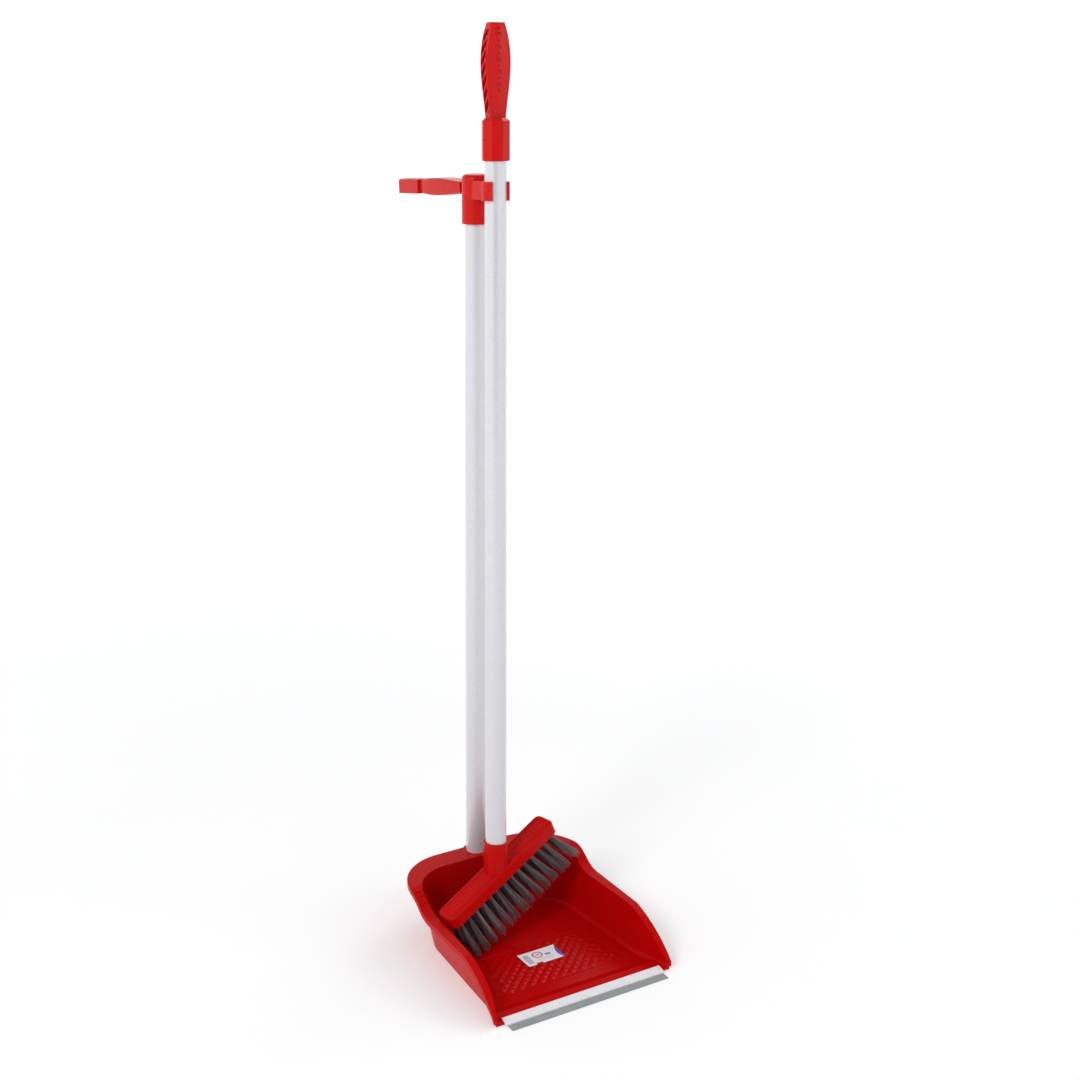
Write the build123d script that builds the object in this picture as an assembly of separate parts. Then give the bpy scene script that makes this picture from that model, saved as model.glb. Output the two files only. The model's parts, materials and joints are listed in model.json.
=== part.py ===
from build123d import *
import os
from math import cos, radians, sin, sqrt, tan

# Long-handled dustpan and angle broom, stored together.  Millimetres, +Z up.
# Origin: the middle of the pan's flat underside.  The pan's open lip faces -Y
# and its tube stands at the rear, at +Y.

# ---- pan ----------------------------------------------------------------
PAN_WIDTH = 212.0          # outside of the rolled side rims
PAN_LENGTH = 232.0         # front edge of the floor to the rear rim
RIM_HEIGHT = 66.0          # top of the wide rear flange
SIDE_HEIGHT = 47.0         # top of the side walls
WALL = 2.0
FLOOR = 2.4
FRONT = -PAN_LENGTH / 2    # Y of the pan's front edge
FRONT_FLARE = 38.0         # length of the flared stretch behind the front edge
RAMP_LENGTH = 62.0         # the side walls reach full height this far back
NOSE_HEIGHT = 7.0          # height of the side walls at the front edge
STEP_START = 84.0          # where the side rim starts to climb, from the rear rim
STEP_END = 60.0            # where it meets the rear flange, from the rear rim
REAR_FLANGE = 26.0         # width of the flange along the rear
SIDE_LEAN = 10.0           # how far the side walls lean out over the rim height
BASE_INSET = 20.5          # floor edge to side rim, at the rear
BASE_SETBACK = 11.0        # the rear wall's foot stands this far ahead of its top
CORNER_RADIUS = 48.0       # plan radius of the basin's two rear corners
RIM_CORNER = 62.0          # plan radius of the rim's two rear corners
FLANGE_THICKNESS = 2.2
SKIRT_DEPTH = 5.5          # turned-down edge of the flange
SILL_DEPTH = 24.0          # raised sill behind the lip
SILL_CREST = 14.0
SILL_HEIGHT = 5.2
FOOT_FILLET = 5.5          # floor to wall
NOSE_WALL_LOW = 2.5        # outside of the nose to the basin, at the floor
NOSE_WALL_HIGH = 1.5       # and at rim height
WAIST_FLARE = 7.5          # the floor widens this much each side, from the inset to the waist
REAR_TAPER = 3.5           # and narrows this much towards the rear
FOOT_TIGHTENING = 4.0      # the floor's rear corners are this much tighter than the rim's
RAMP_KNEE_RUN = 0.42       # knee of the ramp's curve, a share of its length
RAMP_KNEE_RISE = 0.66      # and of the side height
SIDE_RISE = 1.5            # the side rim gains this much before the step
STEP_ROUND = 34.0          # radius of the step's two bends
SILL_LEDGE = 1.6           # height of the ledge that the strip butts against
LEDGE_GAP = 0.3            # strip to ledge

# ---- lip strip ----------------------------------------------------------
LIP_END_GAP = 10.0         # end of the strip to the pan's side
LIP_LAP = 5.5              # how far the strip laps over the floor
LIP_NOSE = 4.5             # how far it stands ahead of the floor
LIP_HEIGHT = 4.3
BLADE_REACH = 14.0
BLADE_THICKNESS = 0.9
BLADE_INSET = 1.5          # blade end to strip end
STRIP_EDGE = 1.4           # thickness of the strip's front edge

# ---- tubes --------------------------------------------------------------
TUBE_RADIUS = 11.0
TUBE_WALL = 0.5
RUNNING_GAP = 0.06         # radial clearance of a tube that turns or slides
PAN_TUBE_SETBACK = 10.0    # pan tube axis to the rear rim
SOCKET_WALL = 3.5
SOCKET_FLOOR = 6.0         # closed bottom of the pan's tube socket
SOCKET_WEB = 4.0           # web from the rear wall to the socket
SOCKET_RIB = 3.0           # cross rib behind the rear wall
SOCKET_RIB_LENGTH = 66.0
PLUG_LENGTH = 24.0

# ---- pan handle ---------------------------------------------------------
CAP_DROP = 17.0            # top of the cap below the foot of the broom's collar
CAP_LENGTH = 49.0
CAP_WALL = 3.2
CAP_ROOF = 6.0
CAP_ROUND = 4.5
HANDLE_BELOW_TOP = 14.0    # where the hand grip leaves the cap
HANDLE_DROOP = 4.0         # degrees below level
HANDLE_LENGTH = 93.0
HANDLE_WIDTH = 24.0
HANDLE_DEPTH = 18.0
EYE_LENGTH = 43.0          # flat end with the hanging hole
EYE_WIDTH = 27.0
EYE_THICKNESS = 15.0
EYE_HOLE = 8.0             # radius
EYE_LAP = 4.0              # the flat end starts this far inside the grip
EYE_ROUND = 2.0
NECK_RADIUS = 5.5          # neck between cap and grip
NECK_LENGTH = 5.0
CLIP_HEIGHT = 18.5
CLIP_BELOW_TOP = 13.0      # the clip's middle below the top of the cap
CLIP_WALL = 3.0
CLIP_OPENING = 92.0        # degrees of the ring left open towards the front
CLIP_WEB = 15.0            # width of the web between cap and clip

# ---- broom --------------------------------------------------------------
HEAD_X = -21.0             # middle of the block's top face
HEAD_FROM_FRONT = 143.0
HEAD_Z = 87.0
CLIP_X = -3.0              # the broom's axis at the height of the clip
CLIP_SPACING = 44.0        # clip axis to pan tube axis, front to back
HEAD_YAW = 11.0            # the block's right end stands further back
HEAD_TILT = 25.5           # slope of the block against the tube's cross-section
BLOCK_LENGTH = 160.0
BLOCK_WIDTH = 26.0
BLOCK_THICKNESS = 14.0
BLOCK_CORNER = 6.0
BLOCK_ROUND = 1.6          # round along the top face's edge
STUD_END_GAP = 0.5         # stud to the bottom of its bore
HEAD_SOCKET_RISE = 29.0    # socket mouth above the block's top face
HEAD_SOCKET_WALL = 2.1
TUBE_SEAT = 13.0           # length of the broom tube inside the socket
STUD_RADIUS = 8.0          # threaded stud below the tube's end
BROOM_TUBE_LENGTH = 759.0
COLLAR_LENGTH = 41.0
COLLAR_WALL = 2.2          # at the flats of the octagon
COLLAR_LAP = 34.0          # tube inside the collar
GRIP_LENGTH = 90.0
GRIP_WIDTH = 28.0
GRIP_DEPTH = 14.0
COLLAR_BEVEL = 2.5
COLLAR_FOOT_BEVEL = 1.2
GRIP_LAP = 1.0             # the leaf starts this far inside the collar

# ---- ribbed side faces of both grips -------------------------------------
GRIP_ROUND = 0.19          # corner radius, a share of the section's smaller side
LEAF_STATIONS = [          # share of the length, of the width and of the depth
    (0.0, 0.64, 0.88),
    (0.30, 0.86, 0.97),
    (0.60, 1.00, 1.00),
    (0.85, 0.83, 0.94),
    (1.0, 0.56, 0.80),
]
POCKET_DEPTH = 3.0         # the ribs' hollows below the side face
POCKET_MARGIN = 2.5        # hollows to the front and rear faces
RIBBED_SHARE = 0.86        # share of the grip's length that has ribs
RIB_COUNT = 7
RIB_THICKNESS = 2.0
RIB_SLANT = 50.0           # degrees

# ---- bristles -----------------------------------------------------------
TUFTS_PER_ROW = 14
TUFT_ROWS = 3
TUFT_RADIUS = 2.2          # in its hole
TUFT_HOLE_DEPTH = 7.0
STAPLE = 1.0               # height of the wire anchor below each tuft
STAPLE_WIRE = 0.5
STAPLE_SPARE = 0.8         # the anchor is this much shorter than its hole is wide
TUFT_LENGTH = 48.0         # free length, where the pan's floor leaves room for it
TIP_CLEARANCE = 4.0        # between the lowest tufts and the floor
TUFT_TIP_RADIUS = 3.6
TUFT_END_MARGIN = 10.0     # first and last tuft to the block's ends
TUFT_EDGE_MARGIN = 5.5     # outer rows to the block's long edges
FAN_LOW_END = 0.0          # degrees off square, at the low end
FAN_HIGH_END = 24.0        # and at the high end
ROW_SPLAY = 7.0            # outer rows lean outwards, degrees

# ---- label --------------------------------------------------------------
LABEL_LENGTH = 45.0
LABEL_DEPTH = 25.0
LABEL_THICKNESS = 0.3
LABEL_FROM_FRONT = 84.0

RIM_INSET = 12.0           # side rim to the inside of the wall, at rim height
LIP_LENGTH = PAN_WIDTH - 2 * LIP_END_GAP
PAN_TUBE_Y = FRONT + PAN_LENGTH - PAN_TUBE_SETBACK
CAP_RADIUS = TUBE_RADIUS + CAP_WALL
CLIP_INNER = TUBE_RADIUS + RUNNING_GAP
CLIP_OUTER = CLIP_INNER + CLIP_WALL
TUBE_START = HEAD_SOCKET_RISE - TUBE_SEAT
TUBE_END = TUBE_START + BROOM_TUBE_LENGTH
COLLAR_START = TUBE_END - COLLAR_LAP
CAP_TOP = HEAD_Z + COLLAR_START - CAP_DROP
CAP_BOTTOM = CAP_TOP - CAP_LENGTH
HANDLE_HEIGHT = CAP_TOP - HANDLE_BELOW_TOP
CLIP_CENTRE = CAP_TOP - CLIP_BELOW_TOP
BEYOND = 30.0              # how far cutting shapes run past the pan


def broom_axis():
    """Unit vector along the broom's tube, from the head up to the clip."""
    head = Vector(HEAD_X, FRONT + HEAD_FROM_FRONT, HEAD_Z)
    clip = Vector(CLIP_X, PAN_TUBE_Y - CLIP_SPACING, CLIP_CENTRE)
    return (clip - head).normalized()


def broom_frame():
    """Origin at the block's top face, Z along the tube, X along the block."""
    head = Vector(HEAD_X, FRONT + HEAD_FROM_FRONT, HEAD_Z)
    along = Vector(cos(radians(HEAD_YAW)), sin(radians(HEAD_YAW)), 0)
    return Plane(origin=head, x_dir=along, z_dir=broom_axis())


def pan_outline(half_front, half_waist, half_rear, rear, corner, reach=0.0):
    """Plan of the pan at one height: flared nose, straight sides, round rear."""
    slope = (half_front - half_waist) / FRONT_FLARE
    nose = half_front + slope * reach
    waist_y = FRONT + FRONT_FLARE
    points = [
        (-nose, FRONT - reach),
        (nose, FRONT - reach),
        (half_waist, waist_y),
        (half_rear, rear),
        (-half_rear, rear),
        (-half_waist, waist_y),
    ]
    outline = Polygon(*points, align=None)
    rear_corners = outline.vertices().sort_by(Axis.Y)[-2:]
    return fillet(rear_corners, corner)


def basin(offset, bottom, top, reach):
    """Tapered block: the inside of the pan, made larger all round by offset."""
    half = PAN_WIDTH / 2
    rear = FRONT + PAN_LENGTH - REAR_FLANGE
    waist = half - BASE_INSET + WAIST_FLARE
    low = pan_outline(
        half - NOSE_WALL_LOW + offset,
        waist + offset,
        half - BASE_INSET - REAR_TAPER + offset,
        rear - BASE_SETBACK + offset,
        CORNER_RADIUS - FOOT_TIGHTENING + offset,
        reach,
    )
    high = pan_outline(
        half - NOSE_WALL_HIGH + offset,
        waist + SIDE_LEAN + offset,
        half - RIM_INSET + offset,
        rear + offset,
        CORNER_RADIUS + offset,
        reach,
    )
    return loft([Pos(0, 0, bottom) * low, Pos(0, 0, top) * high], ruled=True)


def side_profile(drop):
    """Side view of everything below the rim line, lowered by drop."""
    rear = FRONT + PAN_LENGTH
    nose = (FRONT - 1, NOSE_HEIGHT - drop)
    knee = (FRONT + RAMP_KNEE_RUN * RAMP_LENGTH, RAMP_KNEE_RISE * SIDE_HEIGHT - drop)
    crest = (FRONT + RAMP_LENGTH, SIDE_HEIGHT - drop)
    step_low = (rear - STEP_START, SIDE_HEIGHT + SIDE_RISE - drop)
    step_high = (rear - STEP_END, RIM_HEIGHT - drop)
    back = (rear + BEYOND, RIM_HEIGHT - drop)
    edge = ThreePointArc(nose, knee, crest)
    edge += Polyline(crest, step_low, step_high, back, (back[0], -BEYOND), (nose[0], -BEYOND), nose)
    face = make_face(Plane.YZ * edge)
    bends = [
        corner
        for corner in face.vertices()
        if min(abs(corner.Y - step_low[0]), abs(corner.Y - step_high[0])) < 0.1
    ]
    return fillet(bends, STEP_ROUND)


def below_rim(drop=0.0):
    """Everything lower than the rim line minus drop."""
    return extrude(side_profile(drop), PAN_WIDTH, both=True)


def rim_plan(inset=0.0):
    """Column over the rim's outer outline."""
    half = PAN_WIDTH / 2 - inset
    outline = pan_outline(half + 2, half + 1, half, FRONT + PAN_LENGTH - inset, RIM_CORNER - inset)
    return extrude(outline, RIM_HEIGHT)


def tube_socket():
    """Blind boss behind the rear wall, tied to it by webs."""
    radius = TUBE_RADIUS + SOCKET_WALL
    boss = Pos(0, PAN_TUBE_Y, RIM_HEIGHT / 2) * Cylinder(radius, RIM_HEIGHT)
    foot_y = FRONT + PAN_LENGTH - REAR_FLANGE - BASE_SETBACK
    web_length = PAN_TUBE_Y - foot_y
    web = Pos(0, foot_y + web_length / 2, RIM_HEIGHT / 2) * Box(SOCKET_WEB, web_length, RIM_HEIGHT)
    height = RIM_HEIGHT - SKIRT_DEPTH
    rib = Box(SOCKET_RIB_LENGTH, SOCKET_RIB, height)
    return boss + web + Pos(0, PAN_TUBE_Y, (height + SKIRT_DEPTH) / 2) * rib


def sill():
    """Raised sill across the floor, just behind the lip."""
    ledge_y = FRONT + LIP_LAP + LEDGE_GAP
    points = [
        (FRONT, 0),
        (FRONT, FLOOR),
        (ledge_y, FLOOR),
        (ledge_y, FLOOR + SILL_LEDGE),
        (FRONT + SILL_CREST, SILL_HEIGHT),
        (FRONT + SILL_DEPTH, FLOOR),
        (FRONT + SILL_DEPTH, 0),
    ]
    return extrude(Plane.YZ * Polygon(*points, align=None), PAN_WIDTH / 2, both=True)


def pan_shell():
    """The moulded pan: floor, walls, rolled rim, rear flange and tube socket."""
    outside = basin(WALL, 0, RIM_HEIGHT, 0)
    cavity = basin(0, FLOOR, RIM_HEIGHT + 1, BEYOND)
    foot = cavity.faces().sort_by(Axis.Z)[0]
    foot_edges = foot.edges().filter_by(lambda edge: edge.center().Y > FRONT - BEYOND + 1)
    cavity = fillet(foot_edges, FOOT_FILLET)
    walls = outside & below_rim()
    band = below_rim() - below_rim(FLANGE_THICKNESS)
    flange = rim_plan() & band
    skirt = (rim_plan() - rim_plan(FLANGE_THICKNESS)) & (below_rim() - below_rim(SKIRT_DEPTH))
    body = walls + flange + skirt + tube_socket()
    body -= cavity
    body += sill() & outside
    bore = Cylinder(TUBE_RADIUS, RIM_HEIGHT, align=(Align.CENTER, Align.CENTER, Align.MIN))
    return body - Pos(0, PAN_TUBE_Y, SOCKET_FLOOR) * bore


def lip_carrier():
    """Stiff white strip that laps over the floor's front edge."""
    points = [
        (FRONT + LIP_LAP, FLOOR),
        (FRONT + LIP_LAP, LIP_HEIGHT),
        (FRONT - LIP_NOSE, BLADE_THICKNESS + STRIP_EDGE),
        (FRONT - LIP_NOSE, BLADE_THICKNESS),
        (FRONT, BLADE_THICKNESS),
        (FRONT, FLOOR),
    ]
    return extrude(Plane.YZ * Polygon(*points, align=None), LIP_LENGTH / 2, both=True)


def lip_blade():
    """Soft grey blade under the strip, thinning towards the floor."""
    points = [
        (FRONT, 0),
        (FRONT, BLADE_THICKNESS),
        (FRONT - LIP_NOSE, BLADE_THICKNESS),
        (FRONT - BLADE_REACH, BLADE_THICKNESS / 2),
        (FRONT - BLADE_REACH, 0),
    ]
    half = LIP_LENGTH / 2 - BLADE_INSET
    return extrude(Plane.YZ * Polygon(*points, align=None), half, both=True)


def floor_label():
    """Plain rectangular label on the floor."""
    box = Box(LABEL_LENGTH, LABEL_DEPTH, LABEL_THICKNESS)
    return Pos(0, FRONT + LABEL_FROM_FRONT, FLOOR + LABEL_THICKNESS / 2) * box


def standing(radius, length):
    """Cylinder standing on Z = 0."""
    return Cylinder(radius, length, align=(Align.CENTER, Align.CENTER, Align.MIN))


def tube(length):
    """Thin-walled tube standing on Z = 0."""
    return standing(TUBE_RADIUS, length) - standing(TUBE_RADIUS - TUBE_WALL, length)


def pan_tube():
    length = CAP_TOP - CAP_ROOF - SOCKET_FLOOR
    return Pos(0, PAN_TUBE_Y, SOCKET_FLOOR) * tube(length)


def pan_tube_plug():
    """Plug that stiffens the tube's lower end inside the socket."""
    return Pos(0, PAN_TUBE_Y, SOCKET_FLOOR) * standing(TUBE_RADIUS - TUBE_WALL, PLUG_LENGTH)


def leaf(length, width, depth, grow_width, grow_depth):
    """Leaf-shaped loft along +Z, with its sections grown or shrunk."""
    sections = []
    for share, wide, deep in LEAF_STATIONS:
        across = wide * width + grow_width
        thick = deep * depth + grow_depth
        section = RectangleRounded(across, thick, GRIP_ROUND * min(across, thick))
        sections.append(Pos(0, 0, share * length) * section)
    return loft(sections)


def palm_grip(length, width, depth, sides):
    """Leaf-shaped grip along +Z, ribbed on its -X face or, with two sides, on both."""
    deep = leaf(length, width, depth, 2 * POCKET_DEPTH, -2 * POCKET_MARGIN)
    pocket = deep - leaf(length, width, depth, -2 * POCKET_DEPTH, depth)
    ribbed_length = RIBBED_SHARE * length
    pocket = pocket & (Pos(0, 0, length / 2) * Box(3 * width, 3 * depth, ribbed_length))
    for index in range(RIB_COUNT + 1):
        height = (length - ribbed_length) / 2 + ribbed_length * index / RIB_COUNT
        pocket -= Pos(0, 0, height) * Rot(-RIB_SLANT, 0, 0) * Box(3 * width, 3 * depth, RIB_THICKNESS)
    if sides == 1:
        pocket = pocket & (Pos(-width, 0, length / 2) * Box(2 * width, 3 * depth, 2 * length))
    return leaf(length, width, depth, 0, 0) - pocket


def flat_eye():
    """Flat end of the hand grip, rounded off round its hanging hole."""
    lap = 2 * EYE_LAP
    eye = Box(EYE_THICKNESS, EYE_WIDTH, EYE_LENGTH + lap)
    end_edges = eye.edges().filter_by(Axis.X).sort_by(Axis.Z)
    eye = fillet(end_edges[-2:], EYE_WIDTH / 2 - EYE_ROUND)
    eye = fillet(eye.edges().sort_by(Axis.Z)[-1:], EYE_ROUND)
    hole_z = EYE_LENGTH + lap / 2 - EYE_WIDTH / 2 - EYE_LENGTH / 2
    hole = Pos(0, 0, hole_z) * Rot(0, 90, 0) * Cylinder(EYE_HOLE, 3 * EYE_THICKNESS)
    return Pos(0, 0, EYE_LENGTH / 2 - lap / 2) * (eye - hole)


def handle_plane():
    """Local Z runs along the hand grip, local X points up."""
    droop = radians(HANDLE_DROOP)
    along = Vector(0, cos(droop), -sin(droop))
    up = Vector(0, sin(droop), cos(droop))
    origin = Vector(0, PAN_TUBE_Y + CAP_RADIUS, HANDLE_HEIGHT)
    return Plane(origin=origin, x_dir=up, z_dir=along)


def cap_space():
    """The space that the cap fills, its bore included."""
    return Pos(0, PAN_TUBE_Y, CAP_BOTTOM) * standing(CAP_RADIUS, CAP_LENGTH)


def hand_grip():
    """Rear-facing grip on the cap, with a flat hanging eye at its end."""
    body = palm_grip(HANDLE_LENGTH, HANDLE_DEPTH, HANDLE_WIDTH, 1)
    neck = Cylinder(NECK_RADIUS, 2 * CAP_RADIUS, align=(Align.CENTER, Align.CENTER, Align.CENTER))
    neck = neck & (Pos(0, 0, NECK_LENGTH - CAP_RADIUS) * Box(CAP_LENGTH, CAP_LENGTH, 2 * CAP_RADIUS))
    grip = body + neck + Pos(0, 0, HANDLE_LENGTH) * flat_eye()
    return handle_plane() * grip - cap_space()


def broom_clip():
    """Open spring ring round the broom's tube, with the web that joins it to the cap."""
    frame = broom_frame()
    along = (CLIP_CENTRE - HEAD_Z) / broom_axis().Z
    clip_plane = Plane(origin=frame.origin + frame.z_dir * along, x_dir=(1, 0, 0), z_dir=frame.z_dir)
    ring = Cylinder(CLIP_OUTER, CLIP_HEIGHT)
    web = Pos(0, CLIP_SPACING / 2, 0) * Box(CLIP_WEB, CLIP_SPACING, CLIP_HEIGHT)
    mouth_reach = 2 * CLIP_OUTER
    half = radians(CLIP_OPENING / 2)
    mouth = Polygon(
        (0, 0),
        (-mouth_reach * sin(half), -mouth_reach * cos(half)),
        (mouth_reach * sin(half), -mouth_reach * cos(half)),
        align=None,
    )
    opening = extrude(mouth, CLIP_HEIGHT, both=True)
    bore = Cylinder(CLIP_INNER, 2 * CLIP_HEIGHT)
    return clip_plane * (ring + web - opening - bore) - cap_space()


def handle_cap():
    """Cap pressed on the pan tube's upper end."""
    cap = standing(CAP_RADIUS, CAP_LENGTH)
    cap = fillet(cap.edges().sort_by(Axis.Z)[-1:], CAP_ROUND)
    return Pos(0, PAN_TUBE_Y, CAP_BOTTOM) * (cap - standing(TUBE_RADIUS, CAP_LENGTH - CAP_ROOF))


def block_plane():
    """Middle of the block's top face, in the broom's frame, Z square to the block."""
    tilt = radians(HEAD_TILT)
    return Plane(origin=(0, 0, 0), x_dir=(cos(tilt), 0, sin(tilt)), z_dir=(-sin(tilt), 0, cos(tilt)))


def tuft_places():
    """Every tuft: its row, foot on the block's underside, and the way it points."""
    places = []
    run = BLOCK_LENGTH - 2 * TUFT_END_MARGIN
    half_band = BLOCK_WIDTH / 2 - TUFT_EDGE_MARGIN
    for row in range(TUFT_ROWS):
        side = 2 * row / (TUFT_ROWS - 1) - 1
        for index in range(TUFTS_PER_ROW):
            share = index / (TUFTS_PER_ROW - 1)
            fan = radians(FAN_LOW_END + (FAN_HIGH_END - FAN_LOW_END) * share)
            splay = radians(ROW_SPLAY) * side
            foot = Vector(run * (share - 0.5), side * half_band, -BLOCK_THICKNESS)
            way = Vector(sin(fan), sin(splay), -cos(fan) * cos(splay)).normalized()
            places.append((row, foot, way))
    return places


def tuft_hole(foot, depth, radius):
    """Round pocket, square to the block's underside."""
    return Pos(foot.X, foot.Y, foot.Z + depth / 2) * Cylinder(radius, depth)


def broom_block():
    """Block with its round socket, thread bore and tuft holes."""
    block = Box(BLOCK_LENGTH, BLOCK_WIDTH, BLOCK_THICKNESS, align=(Align.CENTER, Align.CENTER, Align.MAX))
    block = fillet(block.edges().filter_by(Axis.Z), BLOCK_CORNER)
    block = fillet(block.edges().group_by(Axis.Z)[-1], BLOCK_ROUND)
    radius = TUBE_RADIUS + RUNNING_GAP + HEAD_SOCKET_WALL
    sink = radius * tan(radians(HEAD_TILT))
    body = block_plane() * block + Pos(0, 0, -sink) * standing(radius, HEAD_SOCKET_RISE + sink)
    for _, foot, _ in tuft_places():
        body -= block_plane() * tuft_hole(foot, TUFT_HOLE_DEPTH, TUFT_RADIUS)
    seat = Pos(0, 0, TUBE_START) * standing(TUBE_RADIUS + RUNNING_GAP, TUBE_SEAT)
    return broom_frame() * (body - seat - standing(STUD_RADIUS + RUNNING_GAP, TUBE_START))


def free_length(foot, way):
    """Length of a tuft below the block: cut short where the pan's floor is nearer."""
    to_world = broom_frame().location * block_plane().location
    start = (to_world * Pos(*foot)).position
    end = (to_world * Pos(*(foot + way))).position
    fall = start.Z - end.Z
    edge_drop = TUFT_TIP_RADIUS * sqrt(max(0.0, 1 - fall**2))
    room = start.Z - FLOOR - TIP_CLEARANCE - edge_drop
    return min(TUFT_LENGTH, room / fall)


def tuft(foot, way):
    """One tuft: a round root in its hole and a flared free length."""
    root = tuft_hole(foot, TUFT_HOLE_DEPTH - STAPLE, TUFT_RADIUS)
    tip = foot + way * free_length(foot, way)
    square = Plane(origin=foot, z_dir=(0, 0, -1))
    near = square * Circle(TUFT_RADIUS)
    far = Plane(origin=tip, z_dir=way) * Circle(TUFT_TIP_RADIUS)
    return root + loft([near.face(), far.face()])


def tuft_row(row):
    """All tufts of one row, each a separate solid."""
    tufts = [tuft(foot, way) for number, foot, way in tuft_places() if number == row]
    return broom_frame() * block_plane() * Compound(children=tufts)


def tuft_staples():
    """One flat wire anchor at the bottom of each tuft hole."""
    anchor = Box(2 * TUFT_RADIUS - STAPLE_SPARE, STAPLE_WIRE, STAPLE)
    staples = []
    for _, foot, _ in tuft_places():
        staples.append(Pos(foot.X, foot.Y, foot.Z + TUFT_HOLE_DEPTH - STAPLE / 2) * anchor)
    return broom_frame() * block_plane() * Compound(children=staples)


def broom_tube():
    return broom_frame() * Pos(0, 0, TUBE_START) * tube(BROOM_TUBE_LENGTH)


def thread_insert():
    """Plug pressed into the tube's lower end, with the threaded stud below it."""
    plug = standing(TUBE_RADIUS - TUBE_WALL, PLUG_LENGTH)
    stud = Pos(0, 0, STUD_END_GAP - TUBE_START) * standing(STUD_RADIUS, TUBE_START - STUD_END_GAP)
    return broom_frame() * Pos(0, 0, TUBE_START) * (plug + stud)


def broom_grip():
    """Octagonal collar on the tube's top with a leaf-shaped grip above it."""
    octagon = RegularPolygon(TUBE_RADIUS + COLLAR_WALL, 8, major_radius=False)
    collar = extrude(octagon, COLLAR_LENGTH)
    collar = chamfer(collar.edges().group_by(Axis.Z)[-1], COLLAR_BEVEL)
    collar = chamfer(collar.edges().group_by(Axis.Z)[0], COLLAR_FOOT_BEVEL)
    grip = palm_grip(GRIP_LENGTH + GRIP_LAP, GRIP_WIDTH, GRIP_DEPTH, 2)
    body = collar + Pos(0, 0, COLLAR_LENGTH - GRIP_LAP) * grip - standing(TUBE_RADIUS, COLLAR_LAP)
    return broom_frame() * Pos(0, 0, COLLAR_START) * Rot(0, 0, -HEAD_YAW) * body


def main():
    nodes = {
        "pan_shell": pan_shell(),
        "lip_carrier": lip_carrier(),
        "lip_blade": lip_blade(),
        "floor_label": floor_label(),
        "pan_tube": pan_tube(),
        "pan_tube_plug": pan_tube_plug(),
        "handle_cap": handle_cap(),
        "hand_grip": hand_grip(),
        "broom_clip": broom_clip(),
        "broom_tube": broom_tube(),
        "thread_insert": thread_insert(),
        "broom_grip": broom_grip(),
        "broom_block": broom_block(),
        "tuft_staples": tuft_staples(),
    }
    for row in range(TUFT_ROWS):
        nodes[f"tuft_row_{row + 1}"] = tuft_row(row)
    os.makedirs("parts", exist_ok=True)
    for name, shape in nodes.items():
        export_step(shape, f"parts/{name}.step")


main()
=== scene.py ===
import json
import math
import random

import bpy
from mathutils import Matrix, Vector
from mathutils.bvhtree import BVHTree


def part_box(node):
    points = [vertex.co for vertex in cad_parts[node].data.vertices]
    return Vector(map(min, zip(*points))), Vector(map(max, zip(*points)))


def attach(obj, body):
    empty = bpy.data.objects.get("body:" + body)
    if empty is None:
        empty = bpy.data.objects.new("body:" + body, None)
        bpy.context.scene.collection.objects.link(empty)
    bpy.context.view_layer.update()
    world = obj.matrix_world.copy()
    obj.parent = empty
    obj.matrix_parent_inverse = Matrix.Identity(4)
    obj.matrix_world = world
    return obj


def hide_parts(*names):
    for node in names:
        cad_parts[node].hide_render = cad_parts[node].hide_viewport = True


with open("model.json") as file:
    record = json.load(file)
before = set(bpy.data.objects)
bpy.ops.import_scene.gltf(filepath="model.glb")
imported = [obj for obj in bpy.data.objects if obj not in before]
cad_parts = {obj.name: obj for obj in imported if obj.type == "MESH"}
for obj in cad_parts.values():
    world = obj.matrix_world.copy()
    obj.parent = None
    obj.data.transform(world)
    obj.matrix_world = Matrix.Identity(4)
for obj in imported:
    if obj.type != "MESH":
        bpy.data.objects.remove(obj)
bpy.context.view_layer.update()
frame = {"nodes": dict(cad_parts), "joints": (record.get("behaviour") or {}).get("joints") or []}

MM = 0.001
RANDOM = random.Random(7)
CACHE = {}                                      # the pan's search tree, made once

# ---- measures of the CAD model, in metres ---------------------------------
FLOOR_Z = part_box("floor_label")[0].z            # the pan's floor
LIP_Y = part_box("pan_shell")[0].y                # front edge of the pan
HOLE_DEPTH = 6 * MM                             # tuft root inside the block
BLOCK_THICKNESS = 14 * MM
BLOCK_LENGTH = 160 * MM
BLOCK_WIDTH = 26 * MM
TUFT_REACH = 51 * MM                            # free length of a tuft that nothing stops
FILAMENTS = 90                                  # in each tuft
FILAMENT_RADIUS = (0.18, 0.27)                  # smallest and largest at the block, in millimetres
FILAMENT_TAPER = 0.35                           # share of the radius lost at the tip
STRAY_SHARE = 0.05                              # filaments that stand off from their tuft
STRAY_SPREAD = (1.0, 3.0)                       # how far, in millimetres
STRAY_LENGTH = (0.92, 1.0)                      # share of the tuft's length
TUFT_RADIUS = 1.9 * MM                          # at the block
TUFT_SPREAD = 2.5                               # tip radius over root radius
TUFT_SCATTER = 0.6                              # deviation of a tip's offset, in millimetres
TUFT_LEAN = 0.9                                 # a tip moves sideways by up to this many millimetres
RAGGED = 0.16                                   # the shortest filament's loss, a share of the length
TIP_GAP = 1.0 * MM                              # tip to floor
GRIP_FOOT = 781 * MM                            # the broom's leaf grip, above its head
GRIP_LENGTH = 91 * MM
GRIP_WIDTH = 28 * MM
GRIP_DEPTH = 14 * MM
LEAF_STATIONS = [                               # share of length, width and depth
    (0.0, 0.64, 0.88),
    (0.30, 0.86, 0.97),
    (0.60, 1.00, 1.00),
    (0.85, 0.83, 0.94),
    (1.0, 0.56, 0.80),
]

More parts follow.
